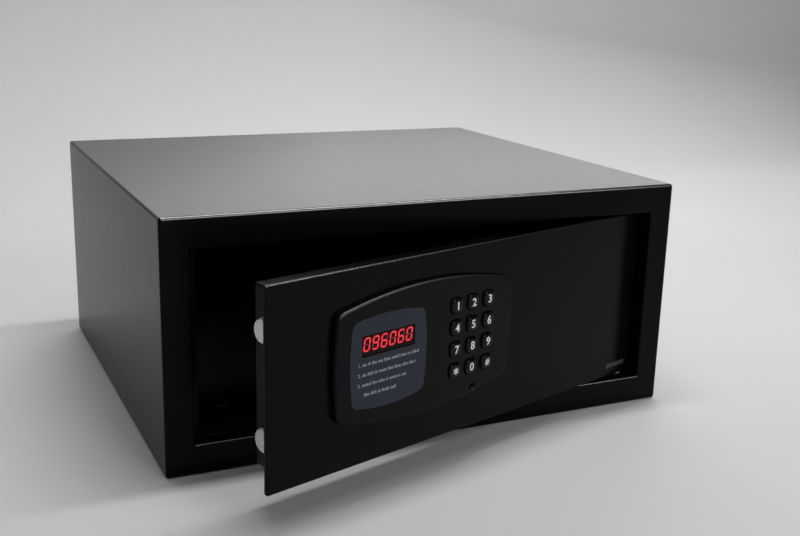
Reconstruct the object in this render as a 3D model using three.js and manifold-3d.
// In-room safe: a folded steel cabinet with an inset door on two pins, a motor-driven pair of
// bolts, and a keypad fascia with a lit display.
// Millimetres. X runs left to right, Y front to back, Z up; the origin is the centre of the base.
// The door's own pieces are laid out in door coordinates: x is the distance from the plate's free
// (left) edge, y is the depth behind the plate's front face, and z is the height above the base.

import * as THREE from 'three';
import { mergeVertices } from 'three/addons/utils/BufferGeometryUtils.js';
import Module from 'manifold-3d';

// ---- driving dimensions -------------------------------------------------------------------

const WIDTH = 430;
const DEPTH = 375;
const HEIGHT = 190;
const SHEET = 2;
const GAP = 0.3;
const BEND_RADIUS = 2.5;
const SIDE_BORDER = 21;
const END_BORDER = 23;
const RETURN_DEPTH = 12;
const ANCHOR_HOLE_RADIUS = 6;
const MAT_HOLE_RADIUS = 11;
const FLOOR_ANCHORS = [[-140, -70], [140, -70], [-140, 110], [140, 110]];
const BACK_ANCHORS_X = [-120, 120];

const RECESS = 10;
const FREE_EDGE_GAP = 2;
const HINGE_EDGE_GAP = 4;
const END_GAP = 2;
const PLATE_THICKNESS = 3;
const PIVOT_INSET = 8;
const PIVOT_DEPTH = 8;
const OPEN_ANGLE = 17;

const CASE_LEFT = 15;
const CASE_RIGHT = 345;
const CASE_MARGIN = 6.5;
const CASE_BACK = 33.5;
const CASE_SHEET = 1.2;

const BOLT_RADIUS = 9;
const BOLT_DEPTH = 19;
const BOLT_HEIGHTS = { bolt_upper: 129.5, bolt_lower: 54.5 };
const BOLT_END = 10;
const BOLT_LENGTH = 56;

const PINION_TEETH = 12;
const GEAR_MODULE = 1;
const PRESSURE_ANGLE = THREE.MathUtils.degToRad(20);
const SHAFT_X = 106;
const SHAFT_Z = 95;

const FASCIA = { left: 51, right: 221, low: 60, high: 138, lowCrown: 51, highCrown: 147, corner: 9 };
const FASCIA_PROUD = 5;
const FASCIA_WALL = 2;
const FASCIA_BEVEL = 1.6;
const LABEL = {
  left: 63.8, right: 133.3, low: 68.8, high: 129.4, lowCrown: 65.8, highCrown: 131.9, corner: 7,
};
const DISPLAY = { x: 97.7, z: 111.7, width: 48, height: 15 };
const KEY_PITCH = 16.4;
const KEY_CENTRE = { x: 178, z: 100.2 };
const KEY_SIZE = 11;
const KEY_RISE = 2.2;
const KEY_CLEARANCE = 0.4;
const KEY_ROWS = [['1', '2', '3'], ['4', '5', '6'], ['7', '8', '9'], ['star', '0', 'hash']];
const SOCKET = { x: 181, z: 59, radius: 2.6, bore: 1.5, sunk: 0.8, back: -0.6, boreEnd: -1.8 };

const BATTERY_RADIUS = 7.1;
const BATTERY_LENGTH = 50;
const BATTERY_PITCH = 15.2;
const BATTERY_BOX = { left: 262, right: 328, low: 62, high: 128, front: 14, back: 31.9, wall: 1.5 };
const HATCH_SHEET = 1.2;

const STRIKE = { thickness: 5, reach: 6.4, standoff: 0.8, endGap: 1 };
const LUG = { thickness: 4, gap: 2.3, reach: 12, depth: 17 };
const MAT = { thickness: 2.5, clearance: 1.2, frontInset: 34 };
const PLATE_WINDOW = { left: 68, right: 208, low: 64, high: 136, corner: 4 };
const BRACKET = { thickness: 2.5, ear: 3, height: 30, inward: 26, flangeEnd: 7, outward: 6, earDepth: 14 };
const PIN = { radius: 3, clearance: 0.4, head: 4, headHeight: 2, chamfer: 0.6 };
const WASHER_RADIUS = 5.5;
const LINK = { width: 4, front: 10, back: 28.5, low: 44, high: 140 };
const GUIDE = { left: 23, thickness: 2.5, foot: 14, footThickness: 2, low: 40, high: 144 };
const TEETH = { front: 24, back: 29, backlash: 0.3, root: 1.3, tip: 0.9 };
const SHAFT_BOSS = { front: 22.9, back: 31, radius: 2.5 };
const RACK = { front: 24, back: 28, first: -2, last: 7, end: 7.6, tip: 0.75, thinning: 0.2, spine: 5 };
const GEARBOX = { before: 11, after: 27, halfHeight: 11, front: 5, back: 22.6 };
const MOTOR = { from: 26, to: 51, depth: 14.2, radius: 9, tailTo: 54, tailRadius: 4 };
const MAIN_BOARD = { left: 172, right: 246, low: 54, high: 136, front: 12 };
const COMPONENTS = [[178, 196, 60, 74, 9], [206, 232, 84, 98, 4], [180, 214, 118, 128, 7]];
const KEY_BOARD = { left: 70, right: 206, low: 66, high: 134, front: 2.1 };
const KEY_SKIRT = { half: 6.8, back: -1.4 };
const KEY_STEM = { radius: 2, back: 0.6 };
const RIBBON = { x: 186, shift: 6, low: 84, width: 22, thickness: 0.8, bendFrom: 5.5, bendTo: 9.5 };

// ---- places worked out from them ----------------------------------------------------------

const FRONT = -DEPTH / 2;
const BACK = DEPTH / 2;
const INNER_X = WIDTH / 2 - SHEET;
const OPENING_X = WIDTH / 2 - SIDE_BORDER;
const DOOR_LENGTH = 2 * OPENING_X - FREE_EDGE_GAP - HINGE_EDGE_GAP;
const DOOR_LOW = END_BORDER + END_GAP;
const DOOR_HIGH = HEIGHT - DOOR_LOW;
const DOOR_MIDDLE = HEIGHT / 2;
const PIVOT_X = OPENING_X - HINGE_EDGE_GAP - PIVOT_INSET;
const PIVOT_Y = FRONT + RECESS + PIVOT_DEPTH;
const PIVOT_ALONG = DOOR_LENGTH - PIVOT_INSET;
const PLATE_BACK = PLATE_THICKNESS + GAP;
const CASE_LOW = DOOR_LOW + CASE_MARGIN;
const CASE_HIGH = DOOR_HIGH - CASE_MARGIN;
const CASE_INSIDE = CASE_BACK - CASE_SHEET;
const FASCIA_FRONT = -FASCIA_PROUD;
const BOARD_THICKNESS = 1.6;
const LID_SEAT = CASE_BACK + 2 * GAP + HATCH_SHEET;

// ---- small tools --------------------------------------------------------------------------

const wasm = await Module();
wasm.setup();

function solid(geometry) {
  const bare = geometry.clone();
  bare.deleteAttribute('normal');
  bare.deleteAttribute('uv');
  const merged = mergeVertices(bare, 1e-4);
  return new wasm.Manifold(new wasm.Mesh({
    numProp: 3,
    vertProperties: new Float32Array(merged.attributes.position.array),
    triVerts: new Uint32Array(merged.index.array),
  }));
}

function geometryOf(manifold) {
  const mesh = manifold.getMesh();
  const geometry = new THREE.BufferGeometry();
  geometry.setAttribute('position', new THREE.BufferAttribute(new Float32Array(mesh.vertProperties), 3));
  geometry.setIndex(new THREE.BufferAttribute(new Uint32Array(mesh.triVerts), 1));
  geometry.computeVertexNormals();
  return geometry;
}

// A box between two corners.
function block(x0, x1, y0, y1, z0, z1) {
  const box = new THREE.BoxGeometry(x1 - x0, y1 - y0, z1 - z0);
  box.translate((x0 + x1) / 2, (y0 + y1) / 2, (z0 + z1) / 2);
  return solid(box);
}

// A round bar along one axis, between two places on it; at holds the other two coordinates in order.
function bar(axis, from, to, at, radius, sides = 24) {
  const rod = new THREE.CylinderGeometry(radius, radius, to - from, sides);
  const middle = (from + to) / 2;
  if (axis === 'x') {
    rod.rotateZ(Math.PI / 2);
    rod.translate(middle, at[0], at[1]);
  } else if (axis === 'y') {
    rod.translate(at[0], middle, at[1]);
  } else {
    rod.rotateX(Math.PI / 2);
    rod.translate(at[0], at[1], middle);
  }
  return solid(rod);
}

// A flat outline in x and z, given thickness from y0 (front) to y1 (back).
function slab(shape, y0, y1, options = {}) {
  const extruded = new THREE.ExtrudeGeometry(shape, {
    depth: y1 - y0,
    bevelEnabled: false,
    curveSegments: 6,
    ...options,
  });
  extruded.rotateX(Math.PI / 2);
  extruded.translate(0, y1, 0);
  return solid(extruded);
}

function roundedRectangle(x0, x1, z0, z1, radius) {
  const shape = new THREE.Shape();
  shape.moveTo(x0 + radius, z0);
  shape.lineTo(x1 - radius, z0);
  shape.absarc(x1 - radius, z0 + radius, radius, -Math.PI / 2, 0);
  shape.lineTo(x1, z1 - radius);
  shape.absarc(x1 - radius, z1 - radius, radius, 0, Math.PI / 2);
  shape.lineTo(x0 + radius, z1);
  shape.absarc(x0 + radius, z1 - radius, radius, Math.PI / 2, Math.PI);
  shape.lineTo(x0, z0 + radius);
  shape.absarc(x0 + radius, z0 + radius, radius, Math.PI, 1.5 * Math.PI);
  return shape;
}

// A barrel: level ends, arched top and bottom, softly turned corners; side bows the two ends.
function barrel(size, inset = 0, side = 1.5) {
  const left = size.left + inset;
  const right = size.right - inset;
  const low = size.low + inset;
  const high = size.high - inset;
  const middleX = (left + right) / 2;
  const middleZ = (low + high) / 2;
  const archHigh = 2 * (size.highCrown - inset) - high;
  const archLow = 2 * (size.lowCrown + inset) - low;
  const turn = size.corner;
  const shape = new THREE.Shape();
  shape.moveTo(left + side, low + turn);
  shape.quadraticCurveTo(left + side, low, left + side + turn, low - turn * 0.1);
  shape.quadraticCurveTo(middleX, archLow, right - side - turn, low - turn * 0.1);
  shape.quadraticCurveTo(right - side, low, right - side, low + turn);
  shape.quadraticCurveTo(right + side, middleZ, right - side, high - turn);
  shape.quadraticCurveTo(right - side, high, right - side - turn, high + turn * 0.1);
  shape.quadraticCurveTo(middleX, archHigh, left + side + turn, high + turn * 0.1);
  shape.quadraticCurveTo(left + side, high, left + side, high - turn);
  shape.quadraticCurveTo(left - side, middleZ, left + side, low + turn);
  return shape;
}

const finishes = {
  cabinetPaint: { color: 0x17181a, roughness: 0.45, metalness: 0.1 },
  boltSteel: { color: 0xb9bcc0, roughness: 0.28, metalness: 1 },
  zincSteel: { color: 0x9a9ca0, roughness: 0.4, metalness: 1 },
  moulding: { color: 0x121315, roughness: 0.38, metalness: 0 },
  keyCap: { color: 0x0e0f10, roughness: 0.25, metalness: 0 },
  label: { color: 0x343b49, roughness: 0.4, metalness: 0 },
  display: { color: 0x3a0406, roughness: 0.2, metalness: 0 },
  board: { color: 0x1f5b34, roughness: 0.5, metalness: 0 },
  cell: { color: 0x8e7a2c, roughness: 0.35, metalness: 0.4 },
  nylon: { color: 0xdedcd2, roughness: 0.5, metalness: 0 },
  mat: { color: 0x202124, roughness: 0.95, metalness: 0 },
};

function piece(name, manifold, finish) {
  const mesh = new THREE.Mesh(geometryOf(manifold), new THREE.MeshStandardMaterial(finishes[finish]));
  mesh.name = name;
  return mesh;
}

// Something at the door's upper end, turned over to make its twin at the lower end.
function mirroredInHeight(manifold) {
  return manifold.mirror([0, 0, 1]).translate([0, 0, 2 * DOOR_MIDDLE]);
}

// ---- cabinet ------------------------------------------------------------------------------

function shellWrap() {
  const outline = roundedRectangle(-WIDTH / 2, WIDTH / 2, 0, HEIGHT, BEND_RADIUS);
  outline.holes.push(roundedRectangle(-INNER_X, INNER_X, SHEET, HEIGHT - SHEET, BEND_RADIUS - SHEET));
  let wrap = slab(outline, FRONT + SHEET + GAP, BACK, { curveSegments: 3 });
  for (const place of FLOOR_ANCHORS) {
    wrap = wrap.subtract(bar('z', -1, SHEET + 1, place, ANCHOR_HOLE_RADIUS, 16));
  }
  return piece('shell_wrap', wrap, 'cabinetPaint');
}

function frontFrame() {
  const outline = roundedRectangle(-WIDTH / 2, WIDTH / 2, 0, HEIGHT, BEND_RADIUS);
  const opening = [-OPENING_X, OPENING_X, END_BORDER, HEIGHT - END_BORDER];
  outline.holes.push(roundedRectangle(...opening, 1));
  const border = slab(outline, FRONT, FRONT + SHEET, { curveSegments: 3 });
  const [x0, x1, z0, z1] = opening;
  const collarOutline = roundedRectangle(x0 - SHEET, x1 + SHEET, z0 - SHEET, z1 + SHEET, 1 + SHEET);
  collarOutline.holes.push(roundedRectangle(...opening, 1));
  const collar = slab(collarOutline, FRONT + SHEET / 2, FRONT + RETURN_DEPTH, { curveSegments: 3 });
  return piece('front_frame', border.add(collar), 'cabinetPaint');
}

function backPlate() {
  const outer = BACK - GAP;
  const edge = INNER_X - GAP;
  let plate = block(-edge, edge, outer - SHEET, outer, SHEET + GAP, HEIGHT - SHEET - GAP);
  for (const x of BACK_ANCHORS_X) {
    plate = plate.subtract(bar('y', outer - 2 * SHEET, BACK, [x, DOOR_MIDDLE], ANCHOR_HOLE_RADIUS, 16));
  }
  return piece('back_plate', plate, 'cabinetPaint');
}

// The flat bar behind the free side's jamb: the plate closes against it and the bolts throw behind it.
function strikeBar() {
  const front = FRONT + RECESS + PLATE_THICKNESS + STRIKE.standoff;
  const strike = block(
    -INNER_X + GAP, -OPENING_X + STRIKE.reach, front, front + STRIKE.thickness,
    DOOR_LOW + STRIKE.endGap, DOOR_HIGH - STRIKE.endGap);
  return piece('strike_bar', strike, 'cabinetPaint');
}

// Welded to the right wall behind the frame, with the hole that the door's pin turns in.
function hingeLug() {
  const low = DOOR_HIGH + LUG.gap;
  const high = low + LUG.thickness;
  const front = FRONT + RETURN_DEPTH + GAP;
  const lug = block(PIVOT_X - LUG.reach, INNER_X - GAP, front, front + LUG.depth, low, high);
  return lug.subtract(bar('z', low - 1, high + 1, [PIVOT_X, PIVOT_Y], PIN.radius + PIN.clearance));
}

function hingeWasher() {
  const low = DOOR_HIGH + GAP;
  const high = DOOR_HIGH + LUG.gap - GAP;
  const washer = bar('z', low, high, [PIVOT_X, PIVOT_Y], WASHER_RADIUS);
  return washer.subtract(bar('z', low - 1, high + 1, [PIVOT_X, PIVOT_Y], PIN.radius + PIN.clearance));
}

function floorMat() {
  const front = FRONT + MAT.frontInset;
  const low = SHEET + GAP;
  const high = low + MAT.thickness;
  const edge = INNER_X - MAT.clearance;
  let mat = block(-edge, edge, front, BACK - SHEET - MAT.clearance, low, high);
  for (const place of FLOOR_ANCHORS) {
    mat = mat.subtract(bar('z', 0, high + 1, place, MAT_HOLE_RADIUS, 20));
  }
  return piece('floor_mat', mat, 'mat');
}

function cabinet() {
  const group = new THREE.Group();
  group.add(shellWrap(), frontFrame(), backPlate(), strikeBar(), floorMat());
  group.add(piece('hinge_lug_top', hingeLug(), 'cabinetPaint'));
  group.add(piece('hinge_lug_bottom', mirroredInHeight(hingeLug()), 'cabinetPaint'));
  group.add(piece('hinge_washer_top', hingeWasher(), 'nylon'));
  group.add(piece('hinge_washer_bottom', mirroredInHeight(hingeWasher()), 'nylon'));
  return group;
}

// ---- door leaf and hinge pins -------------------------------------------------------------

function doorPlate() {
  const { left, right, low, high, corner } = PLATE_WINDOW;
  const plate = slab(roundedRectangle(0, DOOR_LENGTH, DOOR_LOW, DOOR_HIGH, 1.5), 0, PLATE_THICKNESS);
  const window = slab(roundedRectangle(left, right, low, high, corner), -1, PLATE_THICKNESS + 1);
  return piece('door_plate', plate.subtract(window), 'cabinetPaint');
}

// An angle welded behind the plate, whose ear carries the pin.
function hingeBracket() {
  const left = PIVOT_ALONG - BRACKET.inward;
  const earLow = DOOR_HIGH - BRACKET.ear;
  const flange = block(
    left, PIVOT_ALONG - BRACKET.flangeEnd, PLATE_BACK, PLATE_BACK + BRACKET.thickness,
    DOOR_HIGH - BRACKET.height, DOOR_HIGH);
  const ear = block(left, PIVOT_ALONG + BRACKET.outward, PLATE_BACK, BRACKET.earDepth, earLow, DOOR_HIGH);
  const hole = bar(
    'z', earLow - 1, DOOR_HIGH + 1, [PIVOT_ALONG, PIVOT_DEPTH], PIN.radius + PIN.clearance);
  return flange.add(ear).subtract(hole);
}

function hingePin() {
  const under = DOOR_HIGH - BRACKET.ear - GAP;
  const top = DOOR_HIGH + LUG.gap + LUG.thickness;
  const profile = [
    [0, under - PIN.headHeight], [PIN.head, under - PIN.headHeight], [PIN.head, under], [PIN.radius, under],
    [PIN.radius, top - PIN.chamfer], [PIN.radius - PIN.chamfer, top], [0, top],
  ].map(([r, h]) => new THREE.Vector2(r, h));
  const pin = new THREE.LatheGeometry(profile, 18);
  pin.rotateX(Math.PI / 2);
  pin.translate(PIVOT_ALONG, PIVOT_DEPTH, 0);
  return solid(pin);
}

// ---- bolt work ----------------------------------------------------------------------------

function throwBolt(name) {
  const chamfer = 1;
  const profile = [
    [0, 0], [BOLT_RADIUS - chamfer, 0], [BOLT_RADIUS, chamfer], [BOLT_RADIUS, BOLT_LENGTH], [0, BOLT_LENGTH],
  ].map(([r, h]) => new THREE.Vector2(r, h));
  const bolt = new THREE.LatheGeometry(profile, 28);
  bolt.rotateZ(-Math.PI / 2);
  bolt.translate(BOLT_END, BOLT_DEPTH, BOLT_HEIGHTS[name]);
  return piece(name, solid(bolt), 'boltSteel');
}

function boltLink() {
  const { width, front, back, low, high } = LINK;
  const left = BOLT_END + BOLT_LENGTH + GAP;
  return piece('bolt_link', block(left, left + width, front, back, low, high), 'zincSteel');
}

function boltGuide() {
  const { left, thickness, foot, footThickness, low, high } = GUIDE;
  const right = left + thickness;
  let guide = block(left, right, PLATE_BACK, CASE_INSIDE - 1, low, high);
  guide = guide.add(block(left, left + foot, PLATE_BACK, PLATE_BACK + footThickness, low, high));
  for (const height of Object.values(BOLT_HEIGHTS)) {
    guide = guide.subtract(bar('x', left - 1, right + 1.5, [BOLT_DEPTH, height], BOLT_RADIUS + 0.4, 28));
  }
  return piece('bolt_guide', guide, 'zincSteel');
}

// Half the angle that an involute tooth covers at a radius.
function toothHalfAngle(radius, pitchRadius) {
  const baseRadius = pitchRadius * Math.cos(PRESSURE_ANGLE);
  const involute = (angle) => Math.tan(angle) - angle;
  const here = Math.acos(Math.min(1, baseRadius / radius));
  const atPitch = Math.PI / (2 * PINION_TEETH) - TEETH.backlash / (2 * pitchRadius);
  return atPitch + involute(PRESSURE_ANGLE) - involute(here);
}

function drivePinion() {
  const pitchRadius = (GEAR_MODULE * PINION_TEETH) / 2;
  const baseRadius = pitchRadius * Math.cos(PRESSURE_ANGLE);
  const rootRadius = pitchRadius - TEETH.root * GEAR_MODULE;
  const tipRadius = pitchRadius + TEETH.tip * GEAR_MODULE;
  const flank = [rootRadius, baseRadius, (baseRadius + tipRadius) / 2, tipRadius];
  const outline = [];
  for (let tooth = 0; tooth < PINION_TEETH; tooth += 1) {
    const centre = Math.PI / 2 + ((tooth + 0.5) * 2 * Math.PI) / PINION_TEETH;
    const rising = flank.map((r) => [r, centre - toothHalfAngle(r, pitchRadius)]);
    const falling = flank.map((r) => [r, centre + toothHalfAngle(r, pitchRadius)]).reverse();
    for (const [r, angle] of [...rising, ...falling]) {
      outline.push(new THREE.Vector2(SHAFT_X + r * Math.cos(angle), SHAFT_Z + r * Math.sin(angle)));
    }
  }
  const teeth = slab(new THREE.Shape(outline), TEETH.front, TEETH.back);
  const boss = bar('y', SHAFT_BOSS.front, SHAFT_BOSS.back, [SHAFT_X, SHAFT_Z], SHAFT_BOSS.radius, 16);
  return piece('drive_pinion', teeth.add(boss), 'nylon');
}

function driveRack() {
  const pitch = Math.PI * GEAR_MODULE;
  const pitchLine = SHAFT_Z + (GEAR_MODULE * PINION_TEETH) / 2;
  const addendum = RACK.tip * GEAR_MODULE;
  const root = pitchLine + TEETH.root * GEAR_MODULE;
  const halfAtPitch = pitch / 4 - RACK.thinning;
  const slope = Math.tan(PRESSURE_ANGLE);
  const halfTip = halfAtPitch - addendum * slope;
  const halfRoot = halfAtPitch + (root - pitchLine) * slope;
  const left = BOLT_END + BOLT_LENGTH + LINK.width + 2 * GAP;
  const right = SHAFT_X + RACK.end * pitch;
  const shape = new THREE.Shape();
  shape.moveTo(left, root + RACK.spine);
  shape.lineTo(left, root);
  for (let tooth = RACK.first; tooth <= RACK.last; tooth += 1) {
    const x = SHAFT_X + tooth * pitch;
    shape.lineTo(x - halfRoot, root);
    shape.lineTo(x - halfTip, pitchLine - addendum);
    shape.lineTo(x + halfTip, pitchLine - addendum);
    shape.lineTo(x + halfRoot, root);
  }
  shape.lineTo(right, root);
  shape.lineTo(right, root + RACK.spine);
  shape.closePath();
  return piece('drive_rack', slab(shape, RACK.front, RACK.back), 'zincSteel');
}

// A flat gearbox with its motor can on the end; the pinion stands on its rear face.
function gearMotor() {
  const { before, after, halfHeight, front, back } = GEARBOX;
  const axle = [MOTOR.depth, SHAFT_Z];
  const gearbox = block(
    SHAFT_X - before, SHAFT_X + after, front, back, SHAFT_Z - halfHeight, SHAFT_Z + halfHeight);
  const can = bar('x', SHAFT_X + MOTOR.from, SHAFT_X + MOTOR.to, axle, MOTOR.radius, 20);
  const tail = bar('x', SHAFT_X + MOTOR.to - 1, SHAFT_X + MOTOR.tailTo, axle, MOTOR.tailRadius, 16);
  return piece('gear_motor', gearbox.add(can).add(tail), 'nylon');
}

// ---- lock case ----------------------------------------------------------------------------

const POST = { radius: 3.5, tappedDepth: 13, fromLeft: 33, fromRight: 10, leftInset: 8, rightInset: 10 };
const POST_PLACES = [
  [CASE_LEFT + POST.fromLeft, CASE_LOW + POST.leftInset],
  [CASE_LEFT + POST.fromLeft, CASE_HIGH - POST.leftInset],
  [CASE_RIGHT - POST.fromRight, CASE_LOW + POST.rightInset],
  [CASE_RIGHT - POST.fromRight, CASE_HIGH - POST.rightInset],
];
const SCREW = { thread: 1.9, head: 3.6, rim: 1, crown: 2.4, length: 11, lidLength: 1.6 };
const SCREW_CLEARANCE = 0.4;
const BOLT_HOLE_CLEARANCE = 0.8;
const HATCH_LEDGE = 3;
const HATCH_LAP = 2;
const HATCH_TAB = { width: 10, screw: 5 };

function lockCover() {
  const outside = block(CASE_LEFT, CASE_RIGHT, PLATE_BACK, CASE_BACK, CASE_LOW, CASE_HIGH);
  const inside = block(
    CASE_LEFT + CASE_SHEET, CASE_RIGHT - CASE_SHEET, 0, CASE_INSIDE,
    CASE_LOW + CASE_SHEET, CASE_HIGH - CASE_SHEET);
  let cover = outside.subtract(inside);
  for (const height of Object.values(BOLT_HEIGHTS)) {
    const hole = BOLT_RADIUS + BOLT_HOLE_CLEARANCE;
    cover = cover.subtract(bar('x', CASE_LEFT - 1, CASE_LEFT + 3, [BOLT_DEPTH, height], hole, 28));
  }
  for (const place of POST_PLACES) {
    const hole = SCREW.thread + SCREW_CLEARANCE;
    cover = cover.subtract(bar('y', CASE_INSIDE - 1, CASE_BACK + 1, place, hole, 16));
  }
  const { left, right, low, high } = BATTERY_BOX;
  const hatch = block(
    left + HATCH_LEDGE, right - HATCH_LEDGE, CASE_INSIDE - 1, CASE_BACK + 1,
    low + HATCH_LEDGE, high - HATCH_LEDGE);
  return piece('lock_cover', cover.subtract(hatch), 'cabinetPaint');
}

function coverPost(name, place) {
  const post = bar('y', PLATE_BACK, CASE_INSIDE - GAP, place, POST.radius, 16);
  const hole = SCREW.thread + SCREW_CLEARANCE;
  const tapped = bar('y', CASE_INSIDE - POST.tappedDepth, CASE_INSIDE, place, hole, 16);
  return piece(name, post.subtract(tapped), 'zincSteel');
}

function panScrew(name, [x, z], seat, length) {
  const { thread, head, rim, crown } = SCREW;
  const profile = [
    [0, seat - length], [thread, seat - length], [thread, seat],
    [head, seat], [head, seat + rim], [head * 0.67, seat + crown * 0.92], [0, seat + crown],
  ].map(([r, h]) => new THREE.Vector2(r, h));
  const screw = new THREE.LatheGeometry(profile, 16);
  screw.translate(x, 0, z);
  return piece(name, solid(screw), 'zincSteel');
}

function batteryBox() {
  const { left, right, low, high, front, back, wall } = BATTERY_BOX;
  const outside = block(left, right, front, back, low, high);
  const inside = block(left + wall, right - wall, front + wall, back + 1, low + wall, high - wall);
  return piece('battery_box', outside.subtract(inside), 'moulding');
}

function battery(index) {
  const height = (BATTERY_BOX.low + BATTERY_BOX.high) / 2 + (index - 1.5) * BATTERY_PITCH;
  const depth = BATTERY_BOX.front + BATTERY_BOX.wall + GAP + BATTERY_RADIUS;
  const nubRadius = 2.7;
  const shoulder = BATTERY_LENGTH - 1;
  const profile = [
    [0, 0], [BATTERY_RADIUS, 0], [BATTERY_RADIUS, shoulder], [nubRadius, shoulder],
    [nubRadius, BATTERY_LENGTH], [0, BATTERY_LENGTH],
  ].map(([r, h]) => new THREE.Vector2(r, h));
  const cell = new THREE.LatheGeometry(profile, 20);
  cell.translate(0, -BATTERY_LENGTH / 2, 0);
  cell.rotateZ(index % 2 ? Math.PI / 2 : -Math.PI / 2);
  cell.translate((BATTERY_BOX.left + BATTERY_BOX.right) / 2, depth, height);
  return piece(`battery_${index + 1}`, solid(cell), 'cell');
}

function batteryDoor() {
  const { left, right, low, high } = BATTERY_BOX;
  const front = CASE_BACK + GAP;
  const lid = block(
    left - HATCH_LAP, right + HATCH_TAB.width, front, front + HATCH_SHEET,
    low - HATCH_LAP, high + HATCH_LAP);
  const place = [right + HATCH_TAB.screw, DOOR_MIDDLE];
  const hole = bar('y', CASE_BACK, CASE_BACK + 3, place, SCREW.thread + SCREW_CLEARANCE, 16);
  return piece('battery_door', lid.subtract(hole), 'cabinetPaint');
}

function mainBoard() {
  const { left, right, low, high, front } = MAIN_BOARD;
  const back = front + BOARD_THICKNESS;
  let board = block(left, right, front, back, low, high);
  for (const [x0, x1, z0, z1, tall] of COMPONENTS) {
    board = board.add(block(x0, x1, back - 0.5, back + tall, z0, z1));
  }
  return piece('main_board', board, 'board');
}

// ---- fascia, display and keys -------------------------------------------------------------

function keyPlaces() {
  return KEY_ROWS.flatMap((row, r) => row.map((label, c) => ({
    label,
    x: KEY_CENTRE.x + (c - 1) * KEY_PITCH,
    z: KEY_CENTRE.z + (1.5 - r) * KEY_PITCH,
  })));
}

function keyOutline(x, z, size) {
  const half = size / 2;
  return roundedRectangle(x - half, x + half, z - half, z + half, size * 0.3);
}

function fascia() {
  const bevelRise = 2.2;
  const hollowInset = 3.2;
  const pocketDepth = 0.8;
  const body = slab(barrel(FASCIA), FASCIA_FRONT + bevelRise, -GAP, { curveSegments: 5 });
  const raised = new THREE.ExtrudeGeometry(barrel(FASCIA), {
    depth: 1,
    bevelEnabled: true,
    bevelThickness: bevelRise,
    bevelSize: FASCIA_BEVEL,
    bevelOffset: -FASCIA_BEVEL,
    bevelSegments: 2,
    curveSegments: 5,
  });
  raised.rotateX(Math.PI / 2);
  raised.translate(0, FASCIA_FRONT + bevelRise + 1, 0);
  const behind = block(0, DOOR_LENGTH, FASCIA_FRONT + bevelRise + 0.5, 20, 0, HEIGHT);
  let shell = solid(raised).subtract(behind).add(body);
  const hollow = barrel(FASCIA, hollowInset);
  shell = shell.subtract(slab(hollow, FASCIA_FRONT + FASCIA_WALL, 5, { curveSegments: 3 }));
  shell = shell.subtract(slab(barrel(LABEL), FASCIA_FRONT - 1, FASCIA_FRONT + pocketDepth));
  const half = { x: DISPLAY.width / 2, z: DISPLAY.height / 2 };
  shell = shell.subtract(block(
    DISPLAY.x - half.x, DISPLAY.x + half.x, FASCIA_FRONT - 1, 0, DISPLAY.z - half.z, DISPLAY.z + half.z));
  for (const { x, z } of keyPlaces()) {
    const hole = keyOutline(x, z, KEY_SIZE + 2 * KEY_CLEARANCE);
    shell = shell.subtract(slab(hole, FASCIA_FRONT - 1, 0, { curveSegments: 3 }));
  }
  const port = bar('y', FASCIA_FRONT - 1, 0, [SOCKET.x, SOCKET.z], SOCKET.radius + GAP, 20);
  return piece('fascia', shell.subtract(port), 'moulding');
}

function labelPanel() {
  const film = slab(barrel(LABEL, GAP), FASCIA_FRONT - 0.1, FASCIA_FRONT + 0.5);
  const half = { x: DISPLAY.width / 2, z: DISPLAY.height / 2 };
  const aperture = block(
    DISPLAY.x - half.x, DISPLAY.x + half.x, -2 * FASCIA_PROUD, 0, DISPLAY.z - half.z, DISPLAY.z + half.z);
  return piece('label_panel', film.subtract(aperture), 'label');
}

function displayModule() {
  const half = { x: DISPLAY.width / 2 - GAP, z: DISPLAY.height / 2 - GAP };
  const module = block(
    DISPLAY.x - half.x, DISPLAY.x + half.x, FASCIA_FRONT + 0.5, KEY_BOARD.front - GAP,
    DISPLAY.z - half.z, DISPLAY.z + half.z);
  return piece('display_module', module, 'display');
}

function keyBoard() {
  const { left, right, low, high, front } = KEY_BOARD;
  return piece('key_board', block(left, right, front, front + BOARD_THICKNESS, low, high), 'board');
}

// A cap that stands through the fascia, on a wider skirt that the fascia holds in.
function key({ label, x, z }) {
  const { half, back } = KEY_SKIRT;
  const cap = slab(keyOutline(x, z, KEY_SIZE), FASCIA_FRONT - KEY_RISE, back, { curveSegments: 3 });
  const skirt = block(x - half, x + half, FASCIA_FRONT + FASCIA_WALL + GAP, back, z - half, z + half);
  const stem = bar('y', back - 0.6, KEY_STEM.back, [x, z], KEY_STEM.radius, 12);
  return piece(`key_${label}`, cap.add(skirt).add(stem), 'keyCap');
}

function serviceSocket() {
  const place = [SOCKET.x, SOCKET.z];
  const outer = bar('y', FASCIA_FRONT + SOCKET.sunk, SOCKET.back, place, SOCKET.radius, 20);
  const inner = bar('y', FASCIA_FRONT, SOCKET.boreEnd, place, SOCKET.bore, 16);
  return piece('service_socket', outer.subtract(inner), 'moulding');
}

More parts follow.
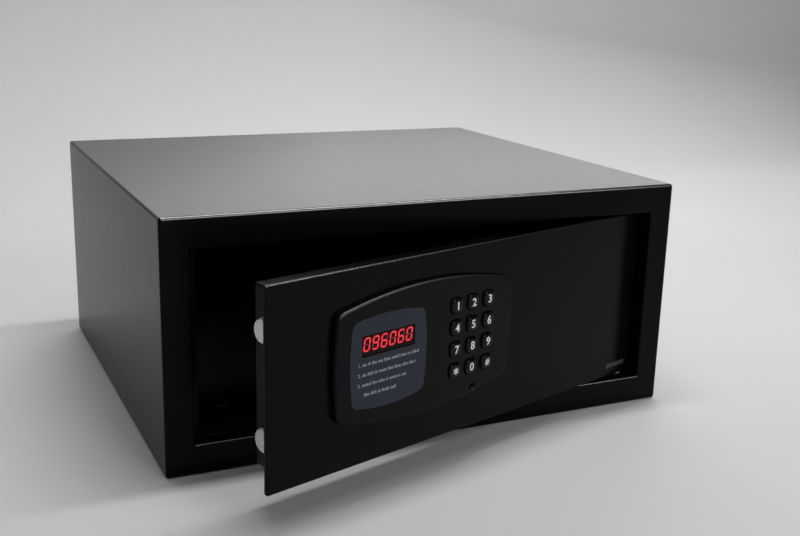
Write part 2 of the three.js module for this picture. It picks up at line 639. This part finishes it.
// A flat lead from the key board back to the main board, through the plate's window.
function ribbonCable() {
  const { x, shift, low, width, thickness, bendFrom, bendTo } = RIBBON;
  const front = KEY_BOARD.front + BOARD_THICKNESS + GAP;
  const back = MAIN_BOARD.front - GAP;
  const near = [[x, front], [x, bendFrom], [x + shift, bendTo], [x + shift, back]];
  const far = near.map(([at, depth], corner) => {
    const cutBack = corner === 1 || corner === 2 ? 0.3 : 0;
    return [at + thickness, depth - cutBack];
  });
  const outline = [...near, ...far.reverse()].map(([at, depth]) => new THREE.Vector2(at, depth));
  const strip = new THREE.ExtrudeGeometry(new THREE.Shape(outline), { depth: width, bevelEnabled: false });
  strip.translate(0, 0, low);
  return piece('ribbon_cable', solid(strip), 'nylon');
}

// ---- door ---------------------------------------------------------------------------------

function door() {
  const leaf = new THREE.Group();
  leaf.position.set(-PIVOT_ALONG, -PIVOT_DEPTH, 0);
  leaf.add(doorPlate(), fascia(), labelPanel(), displayModule(), keyBoard(), serviceSocket());
  leaf.add(piece('hinge_bracket_top', hingeBracket(), 'cabinetPaint'));
  leaf.add(piece('hinge_bracket_bottom', mirroredInHeight(hingeBracket()), 'cabinetPaint'));
  leaf.add(piece('hinge_pin_top', hingePin(), 'zincSteel'));
  leaf.add(piece('hinge_pin_bottom', mirroredInHeight(hingePin()), 'zincSteel'));
  leaf.add(throwBolt('bolt_upper'), throwBolt('bolt_lower'), boltLink(), driveRack(), drivePinion());
  leaf.add(boltGuide(), gearMotor(), mainBoard(), ribbonCable());
  leaf.add(batteryBox(), batteryDoor(), lockCover());
  for (let index = 0; index < 4; index += 1) {
    const place = POST_PLACES[index];
    leaf.add(battery(index));
    leaf.add(coverPost(`cover_post_${index + 1}`, place));
    leaf.add(panScrew(`cover_screw_${index + 1}`, place, CASE_BACK + GAP, SCREW.length));
  }
  const lidScrewPlace = [BATTERY_BOX.right + HATCH_TAB.screw, DOOR_MIDDLE];
  leaf.add(panScrew('battery_door_screw', lidScrewPlace, LID_SEAT, SCREW.lidLength));
  for (const place of keyPlaces()) {
    leaf.add(key(place));
  }
  const hung = new THREE.Group();
  hung.position.set(PIVOT_X, PIVOT_Y, 0);
  hung.rotation.z = THREE.MathUtils.degToRad(OPEN_ANGLE);
  hung.add(leaf);
  return hung;
}

const safe = new THREE.Group();
safe.add(cabinet(), door());

export default safe;
